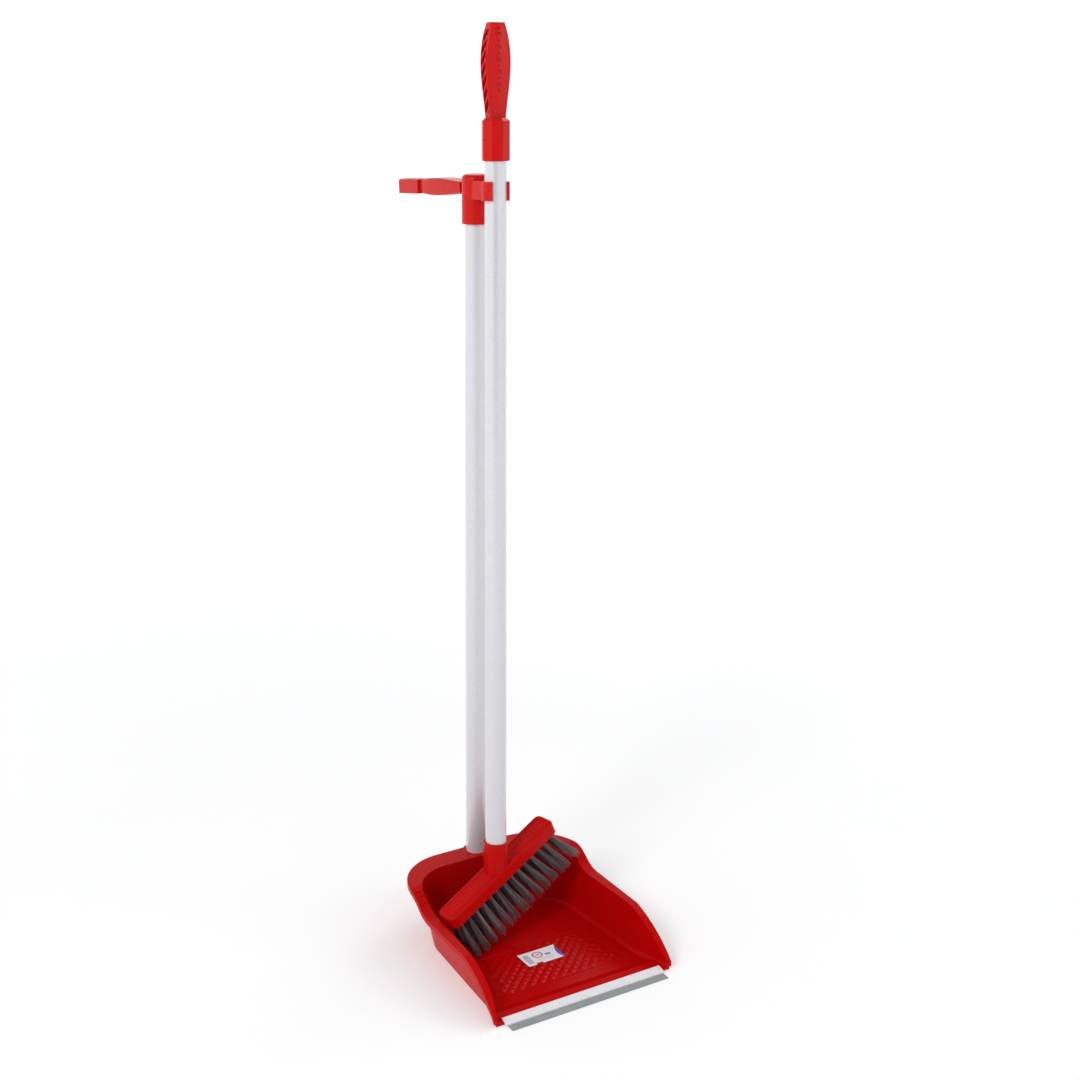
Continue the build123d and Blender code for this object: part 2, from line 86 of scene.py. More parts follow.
# ---- raised beads: width and height ---------------------------------------------
FLOOR_BEAD = (1.1 * MM, 0.6 * MM)
ARC_BEAD = (0.9 * MM, 0.4 * MM)
RIM_BEAD = (1.5 * MM, 1.2 * MM)
WALL_BEAD = (0.9 * MM, 0.6 * MM)
BORDER_BEAD = (1.1 * MM, 0.6 * MM)
RING_BEAD = (0.9 * MM, 1.2 * MM)

# ---- relief on the pan ------------------------------------------------------
TEXTURE_NEAR = 39 * MM                          # pyramids start this far behind the lip
TEXTURE_FAR = 111 * MM
TEXTURE_HALF_NEAR = 80 * MM
TEXTURE_HALF_FAR = 64 * MM
TEXTURE_MARGIN = 1.5 * MM                       # pyramids to the bead round them
PYRAMID_HALF_X = 6.2 * MM
PYRAMID_HALF_Y = 5.5 * MM
PYRAMID_RISE = 1.1 * MM
PYRAMID_SINK = 0.1 * MM                         # every pyramid's base lies this far inside the surface
ARC_START = 128 * MM                            # the arc's ends, behind the lip
ARC_HALF = 46 * MM
ARC_DEPTH = 34 * MM
RIM_STROKES = [                                 # ribs on the left rim, X and Y in millimetres
    ((-105.5, 56.0), (-97.5, 57.5)),
    ((-105.5, 49.0), (-97.5, 50.5)),
    ((-105.0, 42.0), (-98.5, 43.5)),
    ((-105.5, 56.0), (-105.0, 42.0)),
    ((-97.5, 57.5), (-97.5, 50.5)),
]
WALL_STROKES = [                                # lines on the walls, Y and Z in millimetres
    ((22, 25), (-18, 33)),
    ((34, 30), (24, 27)),
    ((-40, 13), (-72, 8.5)),
]

# ---- print on the label: left, right, low and high edge, with 1 at the label's own edges --
LABEL_WORDS = [(-0.22, 0.02, 0.25, 0.35), (0.22, 0.50, 0.07, 0.17), (0.22, 0.50, -0.07, 0.03)]
LABEL_RULES = [(-0.35, 0.55, -0.35, -0.29), (-0.35, 0.55, -0.53, -0.47)]
LABEL_CODE = (-0.86, -0.58, -0.72, 0.62)
LABEL_TAG = (-0.55, -0.20, -1.1, -0.78)
LABEL_COLUMNS = 36
LABEL_ROWS = 20
LABEL_THICKNESS = 0.15 * MM
LABEL_GAP = 0.05 * MM                           # sheet to the pyramids' tips
LABEL_CURL = 0.35 * MM
LABEL_RIPPLE = 0.05 * MM

# ---- relief on the block and the grip -----------------------------------------
BORDER_END_INSET = 4.5 * MM
BORDER_SIDE_INSET = 4.2 * MM
BORDER_ROUND = 4 * MM
PATCH_PITCH = 4.2 * MM
PATCH_RISE = 0.6 * MM
PATCH_MARGIN = 2 * MM                           # patch to the border's end
PATCH_SIDE_MARGIN = 1.5 * MM
PATCH_LOW_LENGTH = 40 * MM                      # at the low end, with its margin
PATCH_HIGH_START = 22 * MM                      # at the high end, from the socket
BAND_STATIONS = 25
BAND_START = 0.03                               # share of the grip's length
BAND_LENGTH = 0.965
BAND_RIDGE = -0.10                              # share of the half width
BAND_RISE = 1.6                                 # the ridge above the grip, in millimetres
RING_COUNT = 11
RING_START = 0.30                               # share of the grip's length
RING_STEP = 0.064
RING_RADIUS = 2.1
STUD_RADIUS = 1.1

# ---- the three reds: colour, shade, roughness, grain and refractive index ------------
REDS = [
    ("pan_red_look", (0.50, 0.001, 0.001), (0.46, 0.001, 0.001), 0.22, 0.03, 1.16),
    ("handle_red_look", (0.56, 0.006, 0.005), (0.50, 0.004, 0.004), 0.26, 0.06, 1.26),
    ("block_red_look", (0.52, 0.003, 0.003), (0.46, 0.002, 0.002), 0.26, 0.06, 1.16),
]

# ---- stage, light and camera --------------------------------------------------
FLOOR_RADIUS = 9.0
FLAT_SHARE = 0.6                                # of the radius, before the backdrop rises
BACKDROP_HEIGHT = 5.0
BACKDROP_SPREAD = 3.0
# painted glow of the floor near the object and of the backdrop far off, as emission strength
FLOOR_GLOW = 0.16
BACKDROP_GLOW = 0.5
WORLD_STRENGTH = 0.55
LAMPS = [                                       # name, place, target, size, power
    ("key", (-2.6, -1.2, 2.3), (0, 0, 0.4), 1.2, 46),
    ("fill", (2.4, -1.6, 1.6), (0, 0, 0.4), 1.4, 8),
    ("rim", (2.5, 0.9, 2.3), (0, 0, 0.5), 1.6, 16),
]
FLAG_CENTRE = (-2.3, -3.6, 1.32)
FLAG_TARGET = (0, 0, 0.4)
FLAG_HALF_WIDTH = 1.7
FLAG_HALF_HEIGHT = 1.2
CAMERA_PLACE = (-0.856, -1.372, 0.963)
CAMERA_PITCH = 15.32                            # degrees below level
CAMERA_YAW = -30.13
CAMERA_LENS = 56.2
CAMERA_SHIFT = (0.058, -0.057)


# ---- materials --------------------------------------------------------------
def new_material(name):
    """An empty node material with its tree and its shader."""
    made = bpy.data.materials.new(name)
    made.use_nodes = True
    tree = made.node_tree
    return made, tree, tree.nodes["Principled BSDF"]


def object_point(tree, stretch=(1, 1, 1)):
    """The surface point in the object's own metres, stretched per axis."""
    coord = tree.nodes.new("ShaderNodeTexCoord")
    mapping = tree.nodes.new("ShaderNodeMapping")
    mapping.inputs["Scale"].default_value = stretch
    tree.links.new(coord.outputs["Object"], mapping.inputs["Vector"])
    return mapping.outputs["Vector"]


def noise(tree, point, scale, detail=3.0):
    """A cloud between 0 and 1."""
    node = tree.nodes.new("ShaderNodeTexNoise")
    node.inputs["Scale"].default_value = scale
    node.inputs["Detail"].default_value = detail
    tree.links.new(point, node.inputs["Vector"])
    return node.outputs["Fac"]


def remap(tree, value, low, high, start=0.3, end=0.7):
    """value from start..end becomes low..high."""
    node = tree.nodes.new("ShaderNodeMapRange")
    node.inputs["From Min"].default_value = start
    node.inputs["From Max"].default_value = end
    node.inputs["To Min"].default_value = low
    node.inputs["To Max"].default_value = high
    tree.links.new(value, node.inputs["Value"])
    return node.outputs["Result"]


def mix_colour(tree, factor, first, second):
    """A blend of two colours or sockets by factor."""
    node = tree.nodes.new("ShaderNodeMix")
    node.data_type = "RGBA"
    tree.links.new(factor, node.inputs["Factor"])
    for socket, value in ((node.inputs[6], first), (node.inputs[7], second)):
        if isinstance(value, bpy.types.NodeSocket):
            tree.links.new(value, socket)
        else:
            socket.default_value = (*value, 1)
    return node.outputs[2]


def calculate(tree, operation, first, second=0.0):
    """One Math node; either input may be a number or a socket."""
    node = tree.nodes.new("ShaderNodeMath")
    node.operation = operation
    for socket, value in zip(node.inputs, (first, second)):
        if isinstance(value, bpy.types.NodeSocket):
            tree.links.new(value, socket)
        else:
            socket.default_value = value
    return node.outputs[0]


def add_bump(tree, shader, height, strength, distance):
    """A fine grain on the shader's normal."""
    node = tree.nodes.new("ShaderNodeBump")
    node.inputs["Strength"].default_value = strength
    node.inputs["Distance"].default_value = distance
    tree.links.new(height, node.inputs["Height"])
    tree.links.new(node.outputs["Normal"], shader.inputs["Normal"])


def moulded_plastic(name, colour, shade, roughness, grain, index):
    """Moulded plastic: cloudy colour, faint flow marks, rubbed roughness and a fine grain."""
    made, tree, shader = new_material(name)
    point = object_point(tree)
    flow = object_point(tree, (3, 3, 9))
    cloud = remap(tree, noise(tree, point, 9, 2), 0, 1)
    tree.links.new(mix_colour(tree, cloud, colour, shade), shader.inputs["Base Color"])
    rubbed = noise(tree, flow, 5, 4)
    tree.links.new(
        remap(tree, rubbed, roughness - 0.03, roughness + 0.04), shader.inputs["Roughness"]
    )
    add_bump(tree, shader, noise(tree, point, 1500, 2), grain, 0.15 * MM)
    shader.inputs["IOR"].default_value = index
    return made


def pearl_paint(name):
    """Pearl white powder paint on steel: flakes under a soft gloss, with orange peel."""
    made, tree, shader = new_material(name)
    point = object_point(tree)
    flake = tree.nodes.new("ShaderNodeTexVoronoi")
    flake.inputs["Scale"].default_value = 1400
    tree.links.new(point, flake.inputs["Vector"])
    sparkle = remap(tree, flake.outputs["Distance"], 0, 1, 0.1, 0.8)
    pearl = mix_colour(tree, sparkle, (0.70, 0.69, 0.72), (0.58, 0.57, 0.60))
    tree.links.new(pearl, shader.inputs["Base Color"])
    drawn = noise(tree, object_point(tree, (1, 1, 0.05)), 400, 3)
    tree.links.new(remap(tree, drawn, 0.29, 0.31), shader.inputs["Roughness"])
    add_bump(tree, shader, noise(tree, point, 700, 2), 0.12, 0.1 * MM)
    shader.inputs["Metallic"].default_value = 0.2
    shader.inputs["Coat Weight"].default_value = 0.5
    shader.inputs["Coat Roughness"].default_value = 0.15
    return made


def strip_plastic(name, colour, shade, roughness):
    """Extruded plastic: fine draw lines along its length."""
    made, tree, shader = new_material(name)
    lines = noise(tree, object_point(tree, (0.02, 1, 1)), 2600, 4)
    dust = remap(tree, noise(tree, object_point(tree), 90, 5), 0, 1, 0.35, 0.75)
    tree.links.new(mix_colour(tree, dust, colour, shade), shader.inputs["Base Color"])
    drawn = remap(tree, lines, roughness - 0.05, roughness + 0.08)
    tree.links.new(drawn, shader.inputs["Roughness"])
    add_bump(tree, shader, lines, 0.25, 0.1 * MM)
    return made


def filament(name):
    """Dark grey bristle: every filament has its own shade."""
    made, tree, shader = new_material(name)
    island = tree.nodes.new("ShaderNodeNewGeometry").outputs["Random Per Island"]
    point = object_point(tree)
    streak = remap(tree, noise(tree, point, 300, 3), 0, 1)
    along = tree.nodes.new("ShaderNodeAttribute")
    along.attribute_name = "along"
    shade = calculate(tree, "POWER", island, 1.6)
    own = mix_colour(tree, shade, (0.035, 0.026, 0.028), (0.36, 0.33, 0.345))
    worn = mix_colour(tree, streak, (0.16, 0.15, 0.155), (0.36, 0.35, 0.36))
    fade = calculate(tree, "POWER", along.outputs["Fac"], 3.0)
    tip = calculate(tree, "MULTIPLY", fade, 0.4)
    tree.links.new(mix_colour(tree, tip, own, worn), shader.inputs["Base Color"])
    tree.links.new(remap(tree, island, 0.25, 0.42, 0, 1), shader.inputs["Roughness"])
    return made


def steel(name):
    """Drawn steel wire."""
    made, tree, shader = new_material(name)
    lines = noise(tree, object_point(tree, (1, 6, 6)), 900, 3)
    metal = mix_colour(tree, lines, (0.5, 0.5, 0.5), (0.66, 0.66, 0.67))
    tree.links.new(metal, shader.inputs["Base Color"])
    tree.links.new(remap(tree, lines, 0.25, 0.45), shader.inputs["Roughness"])
    shader.inputs["Metallic"].default_value = 1.0
    return made


def inside(tree, value, low, high):
    """1 where value lies between low and high, otherwise 0."""
    above = calculate(tree, "GREATER_THAN", value, low)
    below = calculate(tree, "LESS_THAN", value, high)
    return calculate(tree, "MULTIPLY", above, below)


def printed_label(name, centre, half_length, half_depth):
    """White paper with plain devices: a curved band, a ring, bars, rules, stripes and a tag."""
    made, tree, shader = new_material(name)
    coord = tree.nodes.new("ShaderNodeTexCoord")
    split = tree.nodes.new("ShaderNodeSeparateXYZ")
    tree.links.new(coord.outputs["Object"], split.inputs["Vector"])
    from_centre = calculate(tree, "SUBTRACT", split.outputs["X"], centre.x)
    across = calculate(tree, "DIVIDE", from_centre, half_length)
    from_centre = calculate(tree, "SUBTRACT", split.outputs["Y"], centre.y)
    up = calculate(tree, "DIVIDE", from_centre, half_depth)
    fibre = remap(tree, noise(tree, coord.outputs["Object"], 900, 4), 0, 1)
    colour = mix_colour(tree, fibre, (0.88, 0.87, 0.90), (0.80, 0.80, 0.84))

    def paint(base, mask, ink):
        return mix_colour(tree, mask, base, ink)

    def square(left, right, low, high):
        level = inside(tree, up, low, high)
        return calculate(tree, "MULTIPLY", inside(tree, across, left, right), level)

    def distance(x, y, squeeze):
        dx = calculate(tree, "SUBTRACT", across, x)
        dy = calculate(tree, "MULTIPLY", calculate(tree, "SUBTRACT", up, y), squeeze)
        squares = [calculate(tree, "POWER", side, 2.0) for side in (dx, dy)]
        return calculate(tree, "SQRT", calculate(tree, "ADD", *squares))

    bow = calculate(tree, "POWER", calculate(tree, "ADD", up, 0.25), 2.0)
    sweep = calculate(tree, "SUBTRACT", across, calculate(tree, "MULTIPLY", bow, 0.17))
    colour = paint(colour, inside(tree, sweep, 0.83, 2.0), (0.03, 0.12, 0.55))
    colour = paint(colour, inside(tree, sweep, 0.80, 0.84), (0.75, 0.02, 0.03))
    ring = distance(-0.12, 0.30, 0.62)
    colour = paint(colour, inside(tree, ring, 0.20, 0.27), (0.70, 0.03, 0.05))
    for edges in LABEL_WORDS:
        colour = paint(colour, square(*edges), (0.05, 0.07, 0.35))
    for edges in LABEL_RULES:
        colour = paint(colour, square(*edges), (0.50, 0.50, 0.52))
    wave = calculate(tree, "SINE", calculate(tree, "MULTIPLY", up, 46.0))
    stripes = calculate(tree, "GREATER_THAN", wave, -0.1)
    code = calculate(tree, "MULTIPLY", stripes, square(*LABEL_CODE))
    colour = paint(colour, code, (0.22, 0.22, 0.24))
    colour = paint(colour, square(*LABEL_TAG), (0.62, 0.01, 0.02))
    tree.links.new(colour, shader.inputs["Base Color"])
    tree.links.new(remap(tree, fibre, 0.34, 0.46, 0, 1), shader.inputs["Roughness"])
    return made


def stage_paint(name):
    """Pale matt floor with a painted glow, faint near the object and stronger far from it, as a lit
    backdrop does.
    """
    made, tree, shader = new_material(name)
    point = object_point(tree)
    cloud = noise(tree, point, 3, 4)
    pale = mix_colour(tree, cloud, (0.88, 0.88, 0.88), (0.90, 0.90, 0.90))
    tree.links.new(pale, shader.inputs["Base Color"])
    length = tree.nodes.new("ShaderNodeVectorMath")
    length.operation = "LENGTH"
    tree.links.new(point, length.inputs[0])
    glow = remap(tree, length.outputs["Value"], FLOOR_GLOW, BACKDROP_GLOW, 0.6, 4.0)
    shader.inputs["Emission Color"].default_value = (1, 1, 1, 1)
    tree.links.new(glow, shader.inputs["Emission Strength"])
    shader.inputs["Roughness"].default_value = 0.85
    shader.inputs["Specular IOR Level"].default_value = 0.1
    return made


def flag_cloth(name):
    """Dark matt cloth of the flag."""
    made, tree, shader = new_material(name)
    weave = noise(tree, object_point(tree), 60, 2)
    dark = mix_colour(tree, weave, (0.03, 0.03, 0.03), (0.06, 0.06, 0.06))
    tree.links.new(dark, shader.inputs["Base Color"])
    shader.inputs["Roughness"].default_value = 0.9
    return made


# ---- mesh helpers -------------------------------------------------------------
def piece(name, vertices, faces, material, smooth=False):
    """A mesh object from plain lists."""
    mesh = bpy.data.meshes.new(name)
    mesh.from_pydata([tuple(v) for v in vertices], [], faces)
    mesh.validate()
    mesh.update()
    mesh.materials.append(material)
    if smooth:
        mesh.shade_smooth()
    made = bpy.data.objects.new(name, mesh)
    bpy.context.scene.collection.objects.link(made)
    return made


def tube_faces(rings, sides, first, closed=False):
    """Side faces, and end caps if open, of a tube whose rings of vertices follow each other."""
    faces = []
    steps = rings if closed else rings - 1
    for ring in range(steps):
        here = first + ring * sides
        there = first + ((ring + 1) % rings) * sides
        for side in range(sides):
            turn = (side + 1) % sides
            faces.append((here + side, here + turn, there + turn, there + side))
    if not closed:
        faces.append(tuple(first + side for side in reversed(range(sides))))
        faces.append(tuple(first + (rings - 1) * sides + side for side in range(sides)))
    return faces


def add_bead(vertices, faces, points, normal, width, height, closed=False):
    """A low rounded ridge along points that lie on a surface with this normal."""
    first = len(vertices)
    count = len(points)
    profile = [(-0.5, -0.4), (-0.42, 0.35), (-0.18, 0.9), (0.18, 0.9), (0.42, 0.35), (0.5, -0.4)]
    for index, point in enumerate(points):
        before = points[(index - 1) % count] if closed or index else point
        after = points[(index + 1) % count] if closed or index < count - 1 else point
        side = normal.cross(after - before).normalized()
        for across, up in profile:
            vertices.append(point + side * across * width + normal * up * height)
    faces.extend(tube_faces(count, len(profile), first, closed))


def add_pyramid(vertices, faces, corners, apex):
    """A closed pyramid on four corners."""
    first = len(vertices)
    vertices.extend([*corners, apex])
    faces.append((first + 3, first + 2, first + 1, first))
    for side in range(4):
        faces.append((first + side, first + (side + 1) % 4, first + 4))


def add_diamond(vertices, faces, place, u, v, half_u, half_v, rise):
    """A low pyramid with a diamond base; place turns u, v and a rise into a point."""
    corners = [
        place(u - half_u, v, -PYRAMID_SINK),
        place(u, v - half_v, -PYRAMID_SINK),
        place(u + half_u, v, -PYRAMID_SINK),
        place(u, v + half_v, -PYRAMID_SINK),
    ]
    add_pyramid(vertices, faces, corners, place(u, v, rise))


def round_path(corners, radius, steps=5):
    """A closed path through corners with each one rounded off."""
    points = []
    for index, corner in enumerate(corners):
        before = (corners[index - 1] - corner).normalized() * radius
        after = (corners[(index + 1) % len(corners)] - corner).normalized() * radius
        for step in range(steps + 1):
            share = step / steps
            points.append(corner + before * (1 - share) ** 2 + after * share**2)
    return points


# ---- the pan's floor ------------------------------------------------------------
def floor_point(x, behind_lip, rise=0.0):
    """A point above the pan's floor."""
    return Vector((x, LIP_Y + behind_lip, FLOOR_Z + rise))


def texture_half(behind_lip):
    """Half width of the textured area at this distance behind the lip."""
    share = (behind_lip - TEXTURE_NEAR) / (TEXTURE_FAR - TEXTURE_NEAR)
    return TEXTURE_HALF_NEAR + (TEXTURE_HALF_FAR - TEXTURE_HALF_NEAR) * share


def floor_pyramids(material):
    """Low diamond pyramids in staggered rows over the front of the floor."""
    half_x, half_y = PYRAMID_HALF_X, PYRAMID_HALF_Y
    vertices, faces = [], []
    rows = int((TEXTURE_FAR - TEXTURE_NEAR) / half_y) - 1
    for row in range(rows):
        y = TEXTURE_NEAR + half_y * (row + 1)
        shift = half_x if row % 2 else 0.0
        room = texture_half(y + half_y) - TEXTURE_MARGIN
        columns = int((room - half_x) / (2 * half_x)) + 1
        for column in range(-columns, columns + 1):
            x = column * 2 * half_x + shift
            if abs(x) + half_x <= room:
                add_diamond(vertices, faces, floor_point, x, y, half_x, half_y, PYRAMID_RISE)
    made = piece("floor_pyramids", vertices, faces, material)
    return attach(made, "pan")


def floor_beads(material):
    """Fine raised lines: round the textured area and a wide arc behind it."""
    up = Vector((0, 0, 1))
    vertices, faces = [], []
    corners = [
        floor_point(-TEXTURE_HALF_NEAR, TEXTURE_NEAR),
        floor_point(TEXTURE_HALF_NEAR, TEXTURE_NEAR),
        floor_point(TEXTURE_HALF_FAR, TEXTURE_FAR),
        floor_point(-TEXTURE_HALF_FAR, TEXTURE_FAR),
    ]
    add_bead(vertices, faces, round_path(corners, 2 * MM), up, *FLOOR_BEAD, closed=True)
    arc = []
    steps = 32
    for step in range(steps + 1):
        angle = math.pi * step / steps
        arc.append(floor_point(ARC_HALF * math.cos(angle), ARC_START + ARC_DEPTH * math.sin(angle)))
    add_bead(vertices, faces, arc, up, *ARC_BEAD)
    made = piece("floor_beads", vertices, faces, material, smooth=True)
    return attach(made, "pan")


def on_pan(start, way):
    """Where a ray from start meets the pan."""
    data = frame["nodes"]["pan_shell"].data
    if "pan_tree" not in CACHE:
        corners = [vertex.co.copy() for vertex in data.vertices]
        CACHE["pan_tree"] = BVHTree.FromPolygons(corners, [tuple(p.vertices) for p in data.polygons])
    place, normal, _, _ = CACHE["pan_tree"].ray_cast(start, way)
    return place, normal


def between(start, end, count):
    """Evenly spaced pairs from start to end, both in millimetres, turned into metres."""
    for step in range(count):
        share = step / (count - 1)
        yield tuple((first + (last - first) * share) * MM for first, last in zip(start, end))


def rim_ribs(material):
    """Small raised ribs on the left rim, where it steps up to the rear flange."""
    vertices, faces = [], []
    above = 200 * MM                            # higher than the pan
    for start, end in RIM_STROKES:
        path = []
        for x, y in between(start, end, 7):
            place, normal = on_pan(Vector((x, y, above)), Vector((0, 0, -1)))
            path.append(place)
        add_bead(vertices, faces, path, normal, *RIM_BEAD)
    made = piece("rim_ribs", vertices, faces, material, smooth=True)
    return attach(made, "pan")


def wall_lines(material):
    """Fine raised draw lines on the inside of both side walls."""
    vertices, faces = [], []
    for way in (-1, 1):
        for start, end in WALL_STROKES:
            path = []
            for y, z in between(start, end, 9):
                place, normal = on_pan(Vector((0, y, z)), Vector((way, 0, 0)))
                path.append(place)
            add_bead(vertices, faces, path, normal, *WALL_BEAD)
    made = piece("wall_lines", vertices, faces, material, smooth=True)
    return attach(made, "pan")


def label_sheet():
    """The paper label, lying on the pyramids' tips with slightly lifted corners."""
    low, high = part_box("floor_label")
    centre = (low + high) / 2
    half_length = (high.x - low.x) / 2
    half_depth = (high.y - low.y) / 2
    columns, rows = LABEL_COLUMNS, LABEL_ROWS
    base = FLOOR_Z + PYRAMID_RISE + LABEL_GAP
    vertices, faces = [], []
    for level in (0, LABEL_THICKNESS):
        for row in range(rows + 1):
            for column in range(columns + 1):
                u = 2 * column / columns - 1
                v = 2 * row / rows - 1
                curl = LABEL_CURL * (abs(u) * abs(v)) ** 6
                ripple = LABEL_RIPPLE * math.sin(9 * u) * math.cos(7 * v)
                x = centre.x + u * half_length
                y = centre.y + v * half_depth
                vertices.append(Vector((x, y, base + curl + ripple + level)))
    width = columns + 1
    top = width * (rows + 1)
    for row in range(rows):
        for column in range(columns):
            a = row * width + column
            faces.append((a + width, a + width + 1, a + 1, a))
            faces.append((top + a, top + a + 1, top + a + width + 1, top + a + width))
    edge = list(range(columns))
    edge += [row * width + columns for row in range(rows)]
    edge += [rows * width + column for column in range(columns, 0, -1)]
    edge += [row * width for row in range(rows, 0, -1)]
    for index, a in enumerate(edge):
        b = edge[(index + 1) % len(edge)]
        faces.append((a, b, top + b, top + a))
    material = printed_label("label_paper_look", centre, half_length, half_depth)
    made = piece("printed_label", vertices, faces, material)
    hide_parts("floor_label")
    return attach(made, "pan")


# ---- bristles --------------------------------------------------------------------
def islands(mesh):
    """The mesh's separate solids, as sets of polygons."""
    owner = {}
    keys = [tuple(round(c * 1e6) for c in v.co) for v in mesh.vertices]

    def root(key):
        while owner[key] != key:
            owner[key] = owner[owner[key]]
            key = owner[key]
        return key

    for key in keys:
        owner.setdefault(key, key)
    for polygon in mesh.polygons:
        ring = [root(keys[v]) for v in polygon.vertices]
        for other in ring[1:]:
            owner[root(other)] = root(ring[0])
    groups = {}
    for polygon in mesh.polygons:
        groups.setdefault(root(keys[polygon.vertices[0]]), []).append(polygon)
    return list(groups.values())


def tuft_line(mesh, polygons):
    """Foot on the block, block normal, direction and free length of one CAD tuft."""
    by_height = sorted(polygons, key=lambda polygon: polygon.center.z)
    way = by_height[0].normal.copy()
    normal = by_height[-1].normal.copy()

    def disc_centre(polygon, facing):
        level = polygon.center.dot(facing)
        points = {
            tuple(round(c, 6) for c in mesh.vertices[v].co)
            for other in polygons
            for v in other.vertices
            if abs(mesh.vertices[v].co.dot(facing) - level) < 0.02 * MM
        }
        return sum((Vector(p) for p in points), Vector()) / len(points)

    tip = disc_centre(by_height[0], way)
    foot = disc_centre(by_height[-1], normal) - normal * HOLE_DEPTH
    return foot, normal, (tip - foot).normalized(), (tip - foot).length


def grown_length(foot, way, length):
    """A real tuft reaches the floor that its CAD solid stays clear of."""
    if length > TUFT_REACH - 0.5 * MM:
        return length
    room = (foot.z - FLOOR_Z - TIP_GAP) / -way.z
    return min(TUFT_REACH, room)


def add_filament(vertices, faces, along, points, radius):
    """One three-sided filament that thins a little towards its tip."""
    first = len(vertices)
    axis = (points[-1] - points[0]).normalized()
    side = axis.orthogonal().normalized()
    other = axis.cross(side)
    turn = RANDOM.uniform(0, 2 * math.pi)
    for index, point in enumerate(points):
        size = radius * (1 - FILAMENT_TAPER * index / (len(points) - 1))
        for corner in range(3):
            angle = turn + corner * 2 * math.pi / 3
            vertices.append(point + (side * math.cos(angle) + other * math.sin(angle)) * size)
            along.append(index / (len(points) - 1))
    faces.extend(tube_faces(len(points), 3, first))


def add_tuft(vertices, faces, along, foot, normal, way, length):
    """A bundle of filaments that spreads and bends slightly from its hole to its tip."""
    side = way.orthogonal().normalized()
    other = way.cross(side)
    reach = grown_length(foot, way, length)
    lean = side * RANDOM.uniform(-TUFT_LEAN, TUFT_LEAN) * MM
    lean += other * RANDOM.uniform(-TUFT_LEAN, TUFT_LEAN) * MM
    for _ in range(FILAMENTS):
        angle = RANDOM.uniform(0, 2 * math.pi)
        offset = TUFT_RADIUS * math.sqrt(RANDOM.random())
        radial = side * math.cos(angle) + other * math.sin(angle)
        spread = offset * TUFT_SPREAD + RANDOM.gauss(0, TUFT_SCATTER) * MM
        own = reach * (1 - RAGGED * RANDOM.random() ** 2)
        if RANDOM.random() < STRAY_SHARE:
            spread += RANDOM.uniform(*STRAY_SPREAD) * MM
            own = reach * RANDOM.uniform(*STRAY_LENGTH)
        points = [foot + normal * 3 * MM + radial * offset * 0.9]
        for share in (0.0, 0.35, 0.7, 1.0):
            wide = offset + (spread - offset) * share**1.5
            points.append(foot + way * own * share + radial * wide + lean * share * share)
        add_filament(vertices, faces, along, points, RANDOM.uniform(*FILAMENT_RADIUS) * MM)


def bristle_rows(material):
    """Three rows of tufts of single filaments; returns the tufts' feet and the block's normal."""
    feet = []
    normal = None
    for row in (1, 2, 3):
        node = f"tuft_row_{row}"
        mesh = frame["nodes"][node].data
        lines = [tuft_line(mesh, group) for group in islands(mesh)]
        lines.sort(key=lambda line: line[0].x)
        vertices, faces, along = [], [], []
        for foot, normal, way, length in lines:
            add_tuft(vertices, faces, along, foot, normal, way, length)
            feet.append((row, foot))
        made = piece(f"bristles_{row}", vertices, faces, material, smooth=True)
        made.data.attributes.new("along", "FLOAT", "POINT").data.foreach_set("value", along)
        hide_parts(node)
        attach(made, "broom_head")
    return feet, normal


# ---- the broom's block -------------------------------------------------------------
def block_details(material, feet, normal):
    """Raised border and two patches of fine pyramids on the block's top face."""
    middle = [foot for row, foot in feet if row == 2]
    along = (middle[-1] - middle[0]).normalized()
    across = normal.cross(along)
    centre = sum((foot for _, foot in feet), Vector()) / len(feet) + normal * BLOCK_THICKNESS

    def top(u, v, rise=0.0):
        return centre + along * u + across * v + normal * rise

    half_length = BLOCK_LENGTH / 2 - BORDER_END_INSET
    half_width = BLOCK_WIDTH / 2 - BORDER_SIDE_INSET
    corners = [
        top(-half_length, -half_width),
        top(half_length, -half_width),
        top(half_length, half_width),
        top(-half_length, half_width),
    ]
    vertices, faces = [], []
    path = round_path(corners, BORDER_ROUND)
    add_bead(vertices, faces, path, normal, *BORDER_BEAD, closed=True)
    pitch = PATCH_PITCH
    patches = [
        (-half_length + PATCH_MARGIN, -half_length + PATCH_LOW_LENGTH),
        (PATCH_HIGH_START, half_length - PATCH_MARGIN),
    ]
    rows = int(2 * (half_width - PATCH_SIDE_MARGIN) / pitch)
    for low, high in patches:
        for column in range(int((high - low) / pitch)):
            for row in range(rows):
                u = low + pitch * (column + 0.5)
                v = pitch * (row + 0.5 - rows / 2)
                add_diamond(vertices, faces, top, u, v, pitch / 2, pitch / 2, PATCH_RISE)
    made = piece("block_relief", vertices, faces, material)
    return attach(made, "broom_head")


# ---- the broom's grip ------------------------------------------------------------------
def grip_frame():
    """Head pivot, tube axis, and the grip's sideways and rearward directions."""
    joint = next(j for j in frame["joints"] if j["name"] == "head_turn")
    axis = Vector(joint["axis"]).normalized()
    side = (Vector((1, 0, 0)) - axis * axis.x).normalized()
    return Vector(joint["pos_m"]), axis, side, axis.cross(side)


